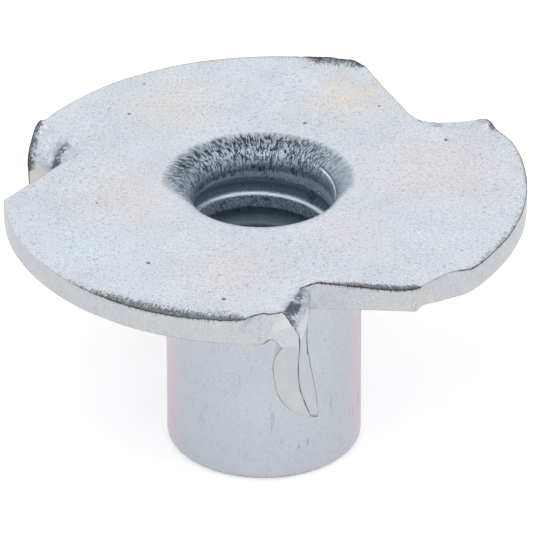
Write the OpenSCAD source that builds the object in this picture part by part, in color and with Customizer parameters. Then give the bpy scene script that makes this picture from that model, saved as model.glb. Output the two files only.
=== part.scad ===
// Three-prong tee nut for a 1/4-20 screw, pressed and drawn from one piece of steel sheet.
// It stands on the end of its barrel: +Z runs up the barrel's axis to the flange.
// The origin is on that axis, in the plane of the barrel's end.

/* [Flange] */
// Diameter of the round flange
flange_d = 19.05; // [18:0.05:20]
// Thickness of the sheet that the nut is pressed from
sheet_t = 0.9; // [0.7:0.05:1.1]
// Rounding along the flange's bottom edge, left by the blanking die
rim_r = 0.1; // [0.05:0.01:0.2]

/* [Barrel] */
// Height from the barrel's end to the top of the flange
height = 10.5; // [9:1.5:12]
// Outside diameter of the drawn barrel
barrel_d = 7.15; // [6.9:0.05:7.6]
// Diameter of the hole, measured between the crests of its thread
bore_d = 5.1; // [4.9:0.05:5.3]
// Radius of the rounded mouth, where the flange is drawn down into the hole
mouth_r = 1.05; // [0.7:0.05:1.3]
// Fillet between the barrel and the underside of the flange
neck_r = 0.3; // [0.15:0.05:0.5]
// Rounding on the outside of the barrel's end
end_r = 0.22; // [0.1:0.01:0.35]
// Chamfer on the hole at the barrel's end
end_chamfer = 0.25; // [0.1:0.05:0.4]

/* [Notches] */
// Number of prongs, each folded down out of a notch in the flange
prongs = 3; // [3:1:4]
// Distance from the nut's axis to the straight side of a notch
cut_offset = 6.85; // [6.8:0.05:6.9]
// Direction of the first notch's straight side, seen from the axis
cut_dir = -98; // [-110:1:-98]
// Where the fold starts, measured along the straight side from its middle
fold_pos = 2.3; // [2.1:0.05:2.6]

/* [Prongs] */
// Depth of the prongs' tips below the top of the flange
prong_depth = 4.4; // [3.6:0.1:5.5]
// Width of a prong across its blunt tip
tip_w = 0.65; // [0.3:0.05:0.9]
// Thickness left at the tip, where one face is pressed to a chisel edge
tip_t = 0.2; // [0.1:0.05:0.5]
// Height of that chisel bevel
bevel_h = 1.1; // [0.5:0.1:1.5]
// Angle between the fold line and the outward direction of its notch
fold_skew = 17; // [14:1:20]
// Radius of the bend at the notch's inner corner, on the outside of the sheet
bend_r_inner = 0.3; // [0.25:0.05:0.6]
// Radius of the bend at the rim, on the outside of the sheet
bend_r_outer = 1.04; // [0.95:0.01:1.3]
// Turn of the sheet round the bend, a few degrees short of an upright prong
fold_turn = 88; // [86:1:93]

/* [Hidden] */
$fn = 96;
// Small overlap between pieces that join, and the length by which a cutting shape passes a face
eps = 0.01;
spare = 1;

flange_r = flange_d / 2;
barrel_r = barrel_d / 2;
bore_r = bore_d / 2;
seat_z = height - sheet_t;
notch_step = 360 / prongs;

// The fold line runs from the notch's straight side to the rim.
fold_x = cut_offset * cos(fold_skew) - fold_pos * sin(fold_skew);
fold_y = cut_offset * sin(fold_skew) + fold_pos * cos(fold_skew);
fold_len = sqrt(flange_r * flange_r - fold_y * fold_y) - fold_x;

// The bend is part of a cone, whose radius grows along the fold line from the notch to the rim.
cone_angle = asin((bend_r_outer - bend_r_inner) / fold_len);
apex_gap = bend_r_inner / sin(cone_angle);
// Slope of the prong's root, which the cone carries down towards the rim
root_slope = asin(sin(cone_angle) * cos(cone_angle) * (1 - cos(fold_turn)));
// Length of the blade below its root at the notch; it is drawn longer by a factor, then trimmed
tip_y = prong_depth - bend_r_inner;
past_tip = 1.2;

// Turns a point of the blade from level axes to the blade's own, which follow its root
function level(p) = [
    p.x * cos(root_slope) + p.y * sin(root_slope),
    p.y * cos(root_slope) - p.x * sin(root_slope)
];

// Half section of the drawn nut, turned about the axis: barrel, neck, rounded mouth and flange
module body_section() {
    difference() {
        union() {
            translate([bore_r, 0]) square([barrel_r - bore_r, height]);
            translate([bore_r, seat_z]) square([flange_r - bore_r, sheet_t]);
            translate([bore_r, seat_z - neck_r]) square([barrel_r + neck_r - bore_r, neck_r + eps]);
        }
        translate([barrel_r + neck_r, seat_z - neck_r]) circle(r = neck_r);
        mouth_cut();
        end_cuts();
        rim_cut();
    }
}

// Corner removed above the rounded mouth
module mouth_cut() {
    difference() {
        translate([0, height - mouth_r]) square([bore_r + mouth_r, mouth_r + spare]);
        translate([bore_r + mouth_r, height - mouth_r]) circle(r = mouth_r);
    }
}

// Corners removed at the barrel's end: the outer rounding and the chamfer on the hole
module end_cuts() {
    difference() {
        translate([barrel_r - end_r, -spare]) square([end_r + spare, end_r + spare]);
        translate([barrel_r - end_r, end_r]) circle(r = end_r);
    }
    polygon([
        [0, -spare],
        [bore_r + end_chamfer + spare, -spare],
        [bore_r, end_chamfer],
        [0, end_chamfer]
    ]);
}

// Corner removed along the flange's bottom edge
module rim_cut() {
    difference() {
        translate([flange_r - rim_r, seat_z - spare]) square([rim_r + spare, rim_r + spare]);
        translate([flange_r - rim_r, seat_z + rim_r]) circle(r = rim_r);
    }
}

// One notch, cut through the flange outwards of its straight side and beyond the fold line
module notch() {
    reach = 2 * flange_r;
    translate([0, 0, seat_z - spare]) linear_extrude(sheet_t + 2 * spare) polygon([
        [cut_offset, fold_pos],
        [cut_offset, reach],
        [reach, reach],
        [cut_offset + reach * cos(fold_skew), fold_pos - reach * sin(fold_skew)]
    ]);
}

// Places children in a prong's fold frame: +X along the fold line, +Y across it, Z = 0 on the top face
module at_fold() {
    rotate([0, 0, -fold_skew]) translate([fold_x, fold_y, height]) children();
}

// Turns children about the axis of the cone, as the press folds the sheet
module folded() {
    translate([-apex_gap, 0, 0])
        rotate([0, cone_angle, 0]) rotate([-fold_turn, 0, 0]) rotate([0, -cone_angle, 0])
            translate([apex_gap, 0, 0]) children();
}

// The bent root: the sheet's section swept about the cone's axis, never past that axis
module prong_bend() {
    far = apex_gap + fold_len + spare;
    along = [sin(cone_angle), -cos(cone_angle)];
    through = sheet_t * [-cos(cone_angle), -sin(cone_angle)];
    translate([-apex_gap, 0, 0]) rotate([0, cone_angle - 90, 0]) rotate_extrude(angle = fold_turn)
        intersection() {
            polygon([
                apex_gap * along,
                far * along,
                far * along + through,
                apex_gap * along + through
            ]);
            translate([0, -2 * far]) square([far, 2 * far]);
        }
}

// Outline of the blade in the flat sheet, from the end of the bend to past the tip
module blade_outline() {
    polygon([
        [0, 0],
        past_tip * level([fold_len - tip_w, tip_y]),
        past_tip * level([fold_len + spare, tip_y]),
        [fold_len + spare, 0]
    ]);
}

// Material pressed away from the blade's under face, to leave its tip a chisel edge
module chisel_cut() {
    bevel = [bevel_h, sheet_t - tip_t];
    heel = [tip_y, -tip_t] - 2 * bevel;
    toe = [tip_y, -tip_t] + bevel;
    rotate([0, 0, -root_slope]) rotate([90, 0, 90]) translate([0, 0, -spare])
        linear_extrude(fold_len + 2 * spare) polygon([heel, toe, [toe.x, heel.y]]);
}

// The blade, turned down to where the bend ends
module prong_blade() {
    folded() difference() {
        translate([0, 0, -sheet_t]) linear_extrude(sheet_t) blade_outline();
        chisel_cut();
    }
}

// Puts children in place at every fold, trimmed to the round of the blank and to the prongs' depth
module at_folds() {
    for (k = [0 : prongs - 1]) intersection() {
        rotate([0, 0, cut_dir + k * notch_step]) at_fold() children();
        translate([0, 0, height - prong_depth]) cylinder(r = flange_r, h = prong_depth + spare);
    }
}

// Turns children to each notch in the flange
module at_notches() {
    for (k = [0 : prongs - 1]) rotate([0, 0, cut_dir + k * notch_step]) children();
}

// The whole nut, as one piece
module tee_nut() {
    color("#c9ced6") union() {
        difference() {
            rotate_extrude() body_section();
            at_notches() notch();
        }
        at_folds() prong_bend();
        at_folds() prong_blade();
    }
}

tee_nut();
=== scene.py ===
# %% [markdown]
# # A pressed tee nut, zinc-plated
# A tee nut is one piece of steel sheet. A press draws a barrel out of its middle, a tool threads the
# barrel, and a punch cuts three notches in the flange and folds each prong down. The CAD part has these
# main shapes. Here the same nut is built as one finer mesh, because the eye reads the sheared edges,
# the torn burr and the worn plating before it reads the shape.

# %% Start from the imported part
import math

import bmesh
import bpy
import numpy as np
from mathutils import Matrix, Vector, geometry


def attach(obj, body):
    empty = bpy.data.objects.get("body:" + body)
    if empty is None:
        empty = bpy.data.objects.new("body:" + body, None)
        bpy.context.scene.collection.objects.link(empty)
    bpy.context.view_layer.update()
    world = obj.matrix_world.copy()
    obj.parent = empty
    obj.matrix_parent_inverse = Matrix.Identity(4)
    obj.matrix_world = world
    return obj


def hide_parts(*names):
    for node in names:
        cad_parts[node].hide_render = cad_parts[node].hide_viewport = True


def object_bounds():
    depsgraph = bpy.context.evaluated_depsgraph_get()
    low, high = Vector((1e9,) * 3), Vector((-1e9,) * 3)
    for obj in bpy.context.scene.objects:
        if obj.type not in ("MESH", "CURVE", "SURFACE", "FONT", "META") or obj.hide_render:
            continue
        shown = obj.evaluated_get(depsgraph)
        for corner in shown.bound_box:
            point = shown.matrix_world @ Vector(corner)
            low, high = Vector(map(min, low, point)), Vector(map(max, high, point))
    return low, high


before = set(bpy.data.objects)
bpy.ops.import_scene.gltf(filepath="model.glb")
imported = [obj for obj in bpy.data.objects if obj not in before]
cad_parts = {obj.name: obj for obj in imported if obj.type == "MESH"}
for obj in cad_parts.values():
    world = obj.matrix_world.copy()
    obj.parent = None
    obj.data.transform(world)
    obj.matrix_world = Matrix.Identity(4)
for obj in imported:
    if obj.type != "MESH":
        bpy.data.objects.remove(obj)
cad_box = [list(corner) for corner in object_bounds()]
MM = 0.001
print("CAD box in mm:", [[round(v / MM, 2) for v in corner] for corner in cad_box])

# %% [markdown]
# ## Sizes
# All lengths are in millimetres and are turned to metres only when the mesh is made. The flange isn't
# quite true to the barrel on a real nut. Here it sits a fifth of a millimetre off and leans by less
# than a degree, as pressed parts do.

# %% Sizes of the nut
HEIGHT = round(cad_box[1][2] / MM, 2)
SHEET = 0.9
SEAT = HEIGHT - SHEET
FLANGE_R, BARREL_R, BORE_R = 9.525, 3.58, 2.55
FLANGE_SHIFT = np.array([0.06, -0.2])
FLANGE_LEAN = 0.013
NOTCHES = [math.radians(degrees) for degrees in (-98, 22, 142)]
TURN = 2 * math.pi
AROUND = 240
angle = np.arange(AROUND) * TURN / AROUND
print("height and seat of the flange:", HEIGHT, round(SEAT, 2))

# %% [markdown]
# ## Soft steps, tables and waviness
# Three small helpers shape nearly everything below. A soft step blends one form into the next, a short
# table gives a value that changes by direction or depth, and a ripple makes an edge uneven. A ripple
# draws from its own seed, so the nut comes out the same on every run.

# %% Helpers for numbers
def ramp(x, start, full):
    """0 up to the start, 1 from full on, smooth between."""
    t = np.clip((np.asarray(x, float) - start) / (full - start), 0, 1)
    return t * t * (3 - 2 * t)


def table(x, pairs):
    """Values read off a short table of (x, value) pairs, straight between them."""
    return np.interp(x, [pair[0] for pair in pairs], [pair[1] for pair in pairs])


def ripple(x, step, seed, period=None):
    """Smooth random waviness along a line, from -1 to 1, with one new value each step."""
    count = int(round(period / step)) if period else 4096
    values = np.random.default_rng(seed).uniform(-1, 1, count)
    place = np.asarray(x, float) / (period / count if period else step)
    left = np.floor(place).astype(int)
    share = place - left
    share = share * share * (3 - 2 * share)
    return values[left % count] * (1 - share) + values[(left + 1) % count] * share


print("a soft step, a quarter and half of the way:", ramp(0.25, 0, 1), ramp(0.5, 0, 1))

# %% [markdown]
# ## A store for the mesh
# The nut could be cut out of solids with Booleans, but their edges would be too clean and their faces
# too large to bend. So it is built from grids, strips and filled outlines that share their border
# points. Each call adds points and faces to one store, and at the end the points that coincide are
# merged into one closed skin. Masks ride along with the points. They are named numbers that tell the
# material where it is: on a sheared edge, on a bend, in the thread.

# %% The store
MASKS = ["sheared", "burr", "bend", "mouth", "cracks", "root", "seam", "rub", "scar"]
points, faces, masks = [], [], {name: [] for name in MASKS}


def add(block, **values):
    """Adds points (n, 3) with their mask values and returns the points' numbers."""
    block = np.asarray(block, float).reshape(-1, 3)
    start = sum(len(b) for b in points)
    points.append(block)
    for name in MASKS:
        value = np.ravel(np.asarray(values.get(name, 0.0), float))
        masks[name].append(np.broadcast_to(value, len(block)).copy())
    return np.arange(start, start + len(block))


print("masks:", ", ".join(MASKS))


# %% Grids of quads and zippers of triangles
def grid(block, wrap=False, flip=False, **values):
    """Adds a (rows, columns, 3) grid of points with its quads."""
    rows, columns = block.shape[:2]
    ids = add(block, **values).reshape(rows, columns)
    if wrap:
        ids = np.hstack([ids, ids[:, :1]])
    a, b, c, d = ids[:-1, :-1], ids[:-1, 1:], ids[1:, 1:], ids[1:, :-1]
    corners = [a, d, c, b] if flip else [a, b, c, d]
    faces.extend(map(tuple, np.stack(corners, -1).reshape(-1, 4)))


def run_along(line):
    """Length along a line of points, up to each point."""
    return np.r_[0, np.cumsum(np.linalg.norm(np.diff(line, axis=0), axis=1))]


def zipper(first, second, flip=False, **values):
    """Joins two lines of points with triangles, walking along both by their length."""
    a, b = add(first, **values), add(second, **values)
    run_a, run_b = run_along(first), run_along(second)
    run_a, run_b = run_a / run_a[-1], run_b / run_b[-1]
    i = j = 0
    while i < len(a) - 1 or j < len(b) - 1:
        if j == len(b) - 1 or (i < len(a) - 1 and run_a[i + 1] <= run_b[j + 1]):
            triangle = (a[i], a[i + 1], b[j])
            i += 1
        else:
            triangle = (a[i], b[j + 1], b[j])
            j += 1
        faces.append(triangle[::-1] if flip else triangle)


print("length along an L of 3 and 4:", run_along(np.array([(0, 0), (3, 0), (3, 4)])))


# %% Webs between two lines that start and end together
WEB_COLUMNS = 50
WEB_ROWS = (0.07, 0.3, 0.5, 0.7, 0.93)


def resample(line, count):
    """The same line with evenly spaced points."""
    run = run_along(line)
    even = np.linspace(0, run[-1], count)
    return np.stack([np.interp(even, run, line[:, i]) for i in range(3)], -1)


def web(first, second, flip=False, **values):
    """Fills between two lines, with rows of points in between."""
    a, b = resample(first, WEB_COLUMNS), resample(second, WEB_COLUMNS)
    lines = [a * (1 - share) + b * share for share in WEB_ROWS]
    zipper(first, lines[0], flip, **values)
    grid(np.array(lines), flip=not flip, **values)
    zipper(lines[-1], second, flip, **values)


print("rows inside a web:", len(WEB_ROWS))

# %% [markdown]
# ## Mouth
# The press draws the sheet down into the hole, so the hole's mouth is a flare: a wide curve first and
# a tight one below it. On a real nut it lies a little to one side of the barrel. A turned curve could
# not do that, so the flare is made of rings whose outer edge has its own centre.

# %% Rings, and the flare's outer edge
MOUTH_AT, MOUTH_R = (-0.18, 0.2), 3.59
TOP_HOLE, UNDER_HOLE = 4.6, 4.2


def ring(r, z, turn=angle):
    """Points round the axis at radius r and height z."""
    return np.stack([r * np.cos(turn), r * np.sin(turn), np.broadcast_to(z, np.shape(turn))], -1)


def mouth_radius(turn):
    """How far the flare's outer edge is from the axis in each direction."""
    toward = MOUTH_AT[0] * np.cos(turn) + MOUTH_AT[1] * np.sin(turn)
    return toward + np.sqrt(toward * toward + MOUTH_R**2 - MOUTH_AT[0] ** 2 - MOUTH_AT[1] ** 2)


edge = mouth_radius(angle)
print("flare's edge from the axis in mm:", edge.min().round(2), "to", edge.max().round(2))

# %% Section of the flare
# each arc: from and to in degrees, radius, steps
FLARE_ARCS = ((0, 20, 2.0, 6), (20, 90, 0.75, 26))
flare = [(0.0, 0.0)]
for start, end, radius, steps in FLARE_ARCS:
    base = flare[-1]
    s = math.radians(start)
    for a in np.linspace(s, math.radians(end), steps + 1)[1:]:
        run = base[0] + radius * (math.sin(a) - math.sin(s))
        flare.append((run, base[1] + radius * (math.cos(s) - math.cos(a))))
flare = np.array(flare) / [flare[-1][0], 1]
print("the flare goes down by mm:", round(flare[-1][1], 2))

# %% Rings of the flare
THREAD_TOP, THREAD_END = HEIGHT - 0.98, 0.25
outer = edge
rows = [ring(np.full(AROUND, TOP_HOLE), HEIGHT), ring((TOP_HOLE + outer) / 2, HEIGHT)]
rows += [ring(outer - (outer - BORE_R) * run, HEIGHT - drop) for run, drop in flare]
rows.append(ring(np.full(AROUND, BORE_R), THREAD_TOP))
mouth_rings = np.array(rows)
print("rings of the mouth:", len(mouth_rings))

# %% [markdown]
# ## The scar in the mouth
# Where the thread runs out, its last groove climbs into the flare and leaves a shallow, polished scar
# on one side. It is pressed a few hundredths of a millimetre into the rings, and a mask paints a thin
# highlight along it.

# %% Press the scar into the rings
PITCH = 1.27
# mm below the top and half the width in mm, and how far the radius grows, as a share
SCAR_START, SCAR_HALF, SCAR_PRESS = 1.435, 0.045, 0.012
scar_z = HEIGHT - SCAR_START + PITCH * ((angle - math.pi / 2) % TURN) / TURN
opposite = np.degrees(angle + math.pi) % 360
scar_reach = ramp(opposite, 118, 150) * (1 - ramp(opposite, 215, 240))
press = np.exp(-(((mouth_rings[:, :, 2] - scar_z) / SCAR_HALF) ** 2)) * scar_reach
mouth_rings[:, :, :2] *= (1 + SCAR_PRESS * press)[:, :, None]
# the scar's mask, which paints a highlight along it
SCAR_LIFT, SCAR_FADE = 0.03, 0.2
scar_gap = np.abs(mouth_rings[:, :, 2] - scar_z + SCAR_LIFT)
scar = (1 - np.clip(scar_gap, 0, SCAR_FADE) / SCAR_FADE) * scar_reach
print("depth of the scar in mm:", round(SCAR_PRESS * BORE_R * press.max(), 3))

# %% [markdown]
# ## Where the mouth's plating cracks
# The mask `mouth` grows down the flare by its arc length, because the sheet is stretched more the
# further it is drawn. It reaches 0.9 at the flare's foot, and the thread itself has 1. The stretch is
# uneven: one side keeps a smoother lip, and the open cracks lie mostly on the other side. The mask of
# the cracks also paints that far (+Y) side of the flare darker, as shade.

# %% Masks of the mouth, then its faces
MOUTH_FULL = 0.9
arc = np.r_[0, np.cumsum(np.hypot(*np.diff(flare, axis=0).T))]
down = np.r_[arc / arc[-1], 1][:, None] * MOUTH_FULL
smooth_lip = 0.45 * ramp(-np.sin(angle), -0.1, 0.6)
mouth_mask = np.vstack([np.zeros((2, AROUND)), np.clip(down - smooth_lip, 0, MOUTH_FULL)])
mouth_mask[-1] = MOUTH_FULL
# the far side, where the cracks lie and the flare is painted darker as shade
CRACKED_SIDE = 1.95
cracks = 0.25 + 0.75 * ramp(np.cos(angle - CRACKED_SIDE), -0.2, 0.9)
cracks = np.vstack([np.zeros((2, AROUND)), np.tile(cracks, (len(rows) - 2, 1))])
grid(mouth_rings, wrap=True, mouth=mouth_mask, scar=scar, cracks=cracks)
print("mouth:", len(faces), "faces")

# %% [markdown]
# ## Thread
# The thread is a right-hand 1/4-20, with a pitch of 1.27 mm. A groove cut by a Boolean would need a
# very dense mesh to stay crisp. Here each line of the groove's section is its own row of points that
# climbs one pitch a turn, so the edges are crisp with few points. The rows are clamped at both ends
# of the thread, where the groove runs out.

# %% Section of the groove
# for each line: mm above the start of its turn, depth as a share of the whole, and how much it is rubbed,
# which sets its painted highlight
ROOT_R, THREAD_AT = 3.1, 0.64
GROOVE = [
    (0.0, 0.11, 1.3), (0.02, 0.18, 0.4), (0.045, 0.27, 0), (0.28, 0.96, 0), (0.32, 1, 0), (0.38, 1, 0),
    (0.42, 0.96, 0), (0.66, 0.07, 0), (0.70, 0.01, 0), (0.75, 0, 0), (0.9, 0, 0), (1.0, 0, 0),
    (1.1, 0, 0.2), (1.17, 0, 0.45), (1.21, 0.015, 1.2), (1.24, 0.055, 1.3),
]
RUN_OUT = 0.25
turns = range(-2, int((THREAD_TOP - THREAD_END) / PITCH) + 3)
levels = [(t * PITCH + THREAD_AT + up, depth, worn) for t in turns for up, depth, worn in GROOVE]
print("lines of the thread:", len(levels), "and depth in mm:", round(ROOT_R - BORE_R, 2))

# %% Rows of the thread
seam_angle = np.append(angle, TURN)
rows, depth_rows, rub_rows = [], [], []
for base, depth, worn in levels:
    z = base + seam_angle / TURN * PITCH
    begun = ramp(z, THREAD_END, THREAD_END + RUN_OUT)
    keep = begun * (1 - ramp(z, THREAD_TOP - RUN_OUT, THREAD_TOP))
    z = np.clip(z, THREAD_END, THREAD_TOP)
    r = BORE_R + (ROOT_R - BORE_R) * depth * keep
    rows.append(ring(r, z, seam_angle))
    depth_rows.append(depth * keep)
    # a rubbed crest edge gets a painted highlight, strongest towards +X
    rubbed = ramp(worn + 0.55 * np.cos(seam_angle), 0.75, 1.0) if worn else 0
    rub_rows.append(rubbed * keep)
thread = np.array(rows)
print("points in a line:", thread.shape[1])

# %% Drop the rows that lie flat beyond the ends, and add the rest
at_end = (np.abs(thread[:, :, 2] - THREAD_END) < 1e-9).all(1)
at_top = (np.abs(thread[:, :, 2] - THREAD_TOP) < 1e-9).all(1)
used = ~(at_end & np.roll(at_end, -1)) & ~(at_top & np.roll(at_top, 1))
grid(thread[used], flip=True, mouth=1.0, root=np.array(depth_rows)[used], rub=np.array(rub_rows)[used])
print("thread:", used.sum(), "rows")

# %% [markdown]
# ## Barrel
# The barrel's wall is smooth outside, its end is rounded over, and a small fillet joins it to the
# underside of the flange. One section of points, turned round the axis, gives all of it.

# %% The barrel's wall, from the hole's chamfer round the end and up to the flange
END_R, NECK_R, CHAMFER = 0.21, 0.3, 0.25
quarter = np.linspace(0, math.pi / 2, 6)
wall = [(BORE_R, THREAD_END), (BORE_R + 0.12, 0.12), (BORE_R + CHAMFER, 0.0)]
wall.append(((BORE_R + BARREL_R) / 2, 0.0))
wall += [(BARREL_R - END_R + END_R * math.sin(a), END_R * (1 - math.cos(a))) for a in quarter]
wall += [(BARREL_R, z) for z in np.linspace(END_R, SEAT - NECK_R, 16)[1:]]
wall += [(BARREL_R + NECK_R * (1 - math.cos(a)), SEAT - NECK_R * (1 - math.sin(a))) for a in quarter[1:]]
wall.append((UNDER_HOLE, SEAT))
# a line of painted shade lies on the rounded end, on which the nut stands
end_line = np.zeros(len(wall))
end_line[5:8] = (0.4, 0.75, 0.4)
rings = np.array([ring(np.full(AROUND, r), z) for r, z in wall])
grid(rings, wrap=True, seam=np.repeat(end_line, AROUND))
# the blocks so far stand true on the axis; the flange that follows is moved and leaned at the end
TRUE_BLOCKS = len(points)
print("mouth, thread and barrel:", len(faces), "faces")

# %% [markdown]
# ## Prongs
# Each prong is the sheet bent down over a cone: the bend is tight at the notch's inner corner and wide
# at the rim. Below the bend the blade narrows to a blunt tip, whose under face is pressed to a chisel.
# The press leaves a pinched crease inside the bend and a slight curl in the blade. A Simple Deform
# modifier bends by one radius only, so the faces are worked out point by point in the fold's own frame:
# X along the fold line from the notch to the rim, Y across it, Z up from the flange's top.

# %% Places and sizes of a prong
CUT, FOLD_START, SKEW = 6.82, 2.3, math.radians(17)
FOLD_X = CUT * math.cos(SKEW) - FOLD_START * math.sin(SKEW)
FOLD_Y = CUT * math.sin(SKEW) + FOLD_START * math.cos(SKEW)
FOLD_LEN = math.sqrt(FLANGE_R**2 - FOLD_Y**2) - FOLD_X
BEND_IN, BEND_OUT, TURNED = 0.3, 1.04, math.radians(88)
BEND_GROWTH = (BEND_OUT - BEND_IN) / FOLD_LEN
TIP_DEPTH = 4.2
ALONG, BEND_ROWS, BLADE_ROWS = 26, 12, 26
share = np.linspace(0, 1, ALONG)
tip_depth = TIP_DEPTH - 0.27 * share**2
turned = np.linspace(0, TURNED, BEND_ROWS)
turned_deg = np.degrees(turned)
print("fold line in mm:", round(FOLD_LEN, 2))

# %% How the blade narrows, thins and curls, each by depth below the top
INNER_EDGE = [(0, 0), (0.5, 0.03), (1.0, 0.2), (1.6, 0.48), (2.4, 0.85), (4.25, 1.78)]
THICK = [
    (0.9, 0.9), (1.87, 0.9), (2.46, 0.85), (2.97, 0.83), (3.34, 0.77), (3.67, 0.58), (3.86, 0.34),
    (4.0, 0.2), (4.25, 0.14),
]
CURL_IN = [
    (0.3, 0), (0.9, -0.05), (1.28, -0.08), (2.0, -0.045), (2.6, 0.1), (3.2, 0.29), (3.6, 0.385),
    (4.04, 0.43), (4.4, 0.5),
]
CURL_OUT = [
    (1.04, 0), (1.95, -0.085), (2.77, -0.08), (3.38, 0.1), (3.83, 0.22), (4.16, 0.375), (4.4, 0.5),
]
# cosine and sine of 65 degrees, the direction of the curl, and cosine of the blade's slant
CURL_ALONG, CURL_ACROSS, SLANT = 0.4226, 0.9063, 0.964
print("thickness at the tip in mm:", THICK[-1][1])

# %% How the three prongs of this nut differ
# how far before the fold line the surface starts to fall, by distance from the notch's corner
EARLY = [
    [(0, 0.05), (2.5, -0.15)],
    [(0, -0.05), (0.22, 0.14), (0.5, 0.42), (0.93, 0.63), (1.66, 0.72), (2.6, 0.7)],
    [(0, 0), (1.2, 0.2), (2.6, 0.05)],
]
# how far the bend's rim side is drawn in, how high its lip stands, how much narrower the blade is,
# and the fillet in the notch's corner
INSETS, LIPS, NARROW, FILLETS = (0.38, 0.2, 0.0), (0.2, 0.13, 0.18), (0.0, 0.0, 0.06), (0.12, 0.25, 0.12)
# the pinched crease inside a bend, as places (across, up) of its lines at the rim
CREASE = ((-0.45, 0.0), (-0.24, 0.19), (0.03, 0.12), (0.28, -0.14), (0.02, -0.47))
print("lips of the three prongs in mm:", LIPS)


# %% Surfaces of a prong
def bend_radius(x):
    """Radius of the bend's outer side, which grows along the fold."""
    return BEND_IN + BEND_GROWTH * x


def blade_face(x, depth):
    """Distance of the blade's outer face from the fold line, at a depth below the top."""
    r = bend_radius(x)
    return r * math.sin(TURNED) + (depth - r * (1 - math.cos(TURNED))) / math.tan(TURNED)


def reach(across, limit):
    """How far along the fold a face goes before it meets the rim; across(x) is its Y there."""
    low, high = np.zeros_like(limit), np.full_like(limit, 5.0)
    for _ in range(30):
        middle = (low + high) / 2
        inside = np.hypot(FOLD_X + middle, FOLD_Y + across(middle)) < limit
        low, high = np.where(inside, middle, low), np.where(inside, high, middle)
    return low


def curl(depth):
    """Sideways set of the blade at a depth, from the notch's side to the rim's side."""
    nearby = (-0.27, -0.13, 0, 0.13, 0.27)
    inner, rim = (np.mean([table(depth + o, t) for o in nearby], axis=0) for t in (CURL_IN, CURL_OUT))
    return inner * (1 - share) + rim * share + 0.012 * ripple(depth, 0.28, 8) * ramp(share, 0.7, 1)


print("radius of the bend at the notch and at the rim:", bend_radius(0), round(bend_radius(FOLD_LEN), 2))


# %% One row across the blade
def blade_row(depth, notch, thick=0.0):
    """Points across the blade at a depth, on its outer face or a thickness behind it."""
    narrow = NARROW[notch] * (1 - ramp(depth, 2.4, 3.9))
    edge = table(depth, INNER_EDGE)
    far = reach(lambda x: blade_face(x, depth) - thick, FLANGE_R - narrow)
    x = edge + (far - edge) * share
    set_by = curl(depth)
    y = blade_face(x, depth) - thick + CURL_ACROSS * set_by
    return np.stack([x - CURL_ALONG * set_by, y, -depth], -1)[None]


row = blade_row(np.full(ALONG, 2.0), 0)[0]
print("width of the front blade 2 mm down:", round(float(np.linalg.norm(row[-1] - row[0])), 2))


# %% The outer skin: round the bend, then down the blade
def outer_skin(notch):
    """The prong's outer face, from the flat of the flange round the bend to the tip."""
    limit = FLANGE_R - INSETS[notch] * (1 - ramp(turned_deg, 0, 60))
    limit = limit - NARROW[notch] * ramp(turned_deg, 15, 50)

    def early(x):
        return table(x, EARLY[notch])

    def bend_face(x, a):
        return (bend_radius(x) + early(x)) * math.sin(a) - early(x)

    end = np.array([reach(lambda x, a=a: bend_face(x, a), np.array(l)) for a, l in zip(turned, limit)])
    first = FILLETS[notch] * (1 - ramp(turned_deg, 0, 70))[:, None]
    x = first + (end[:, None] - first) * share
    r = bend_radius(x) + early(x)
    lift = LIPS[notch] * ramp(share, 0.8, 1.0) * (1 - ramp(turned_deg, 0, 35))[:, None]
    y = r * np.sin(turned)[:, None] - early(x)
    rows = [np.stack([x, y, -r * (1 - np.cos(turned))[:, None] + lift], -1)]
    top = r[-1] * (1 - math.cos(TURNED))
    rows += [blade_row(top + (tip_depth - top) * k / BLADE_ROWS, notch) for k in range(1, BLADE_ROWS + 1)]
    return np.concatenate(rows)


outer_faces = [outer_skin(k) for k in range(3)]
print("rows and columns of an outer skin:", outer_faces[0].shape[:2])


# %% The under skin: through the pinched crease, then down the blade
def under_skin(notch):
    """The prong's inner face, from the flange's underside to the tip."""
    crease = ramp(share, 0.5, 1)
    rows = []
    for dy, dz in CREASE:
        limit = np.full(ALONG, FLANGE_R - NARROW[notch])
        far = reach(lambda x: bend_radius(x) - SHEET + dy * crease, limit)
        x = far * share
        rows.append(np.stack([x, bend_radius(x) - SHEET + dy * crease, -SHEET + dz * crease], -1)[None])
    top = SHEET + 0.68 * crease + 0.06
    for k in range(BLADE_ROWS + 1):
        depth = top + (tip_depth - top) * k / BLADE_ROWS
        rows.append(blade_row(depth, notch, table(depth, THICK) / SLANT))
    return np.concatenate(rows)


under_faces = [under_skin(k) for k in range(3)]
print("rows and columns of an under skin:", under_faces[0].shape[:2])


# %% From the fold's frame to the flange's
def place(block, notch):
    """Turns and moves points from a fold's frame into the nut's."""
    a = NOTCHES[notch] - SKEW
    x, y = FOLD_X + block[..., 0], FOLD_Y + block[..., 1]
    level = x * math.cos(a) - y * math.sin(a), x * math.sin(a) + y * math.cos(a)
    return np.stack([*level, HEIGHT + block[..., 2]], -1)


print("a corner of the front prong's tip:", place(outer_faces[0][-1, -1], 0).round(2))

# %% [markdown]
# ## Straight sides of the notches
# A second punch cuts each notch along one straight side. On a worn press these sides come out a little
# slanted and shifted, and no two are alike. Three equal cuts would look too true, so each side has its
# own line of places, one for the top face and one for the underside. The top edge also rolls over by a
# few hundredths of a millimetre, where the punch went in.

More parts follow.
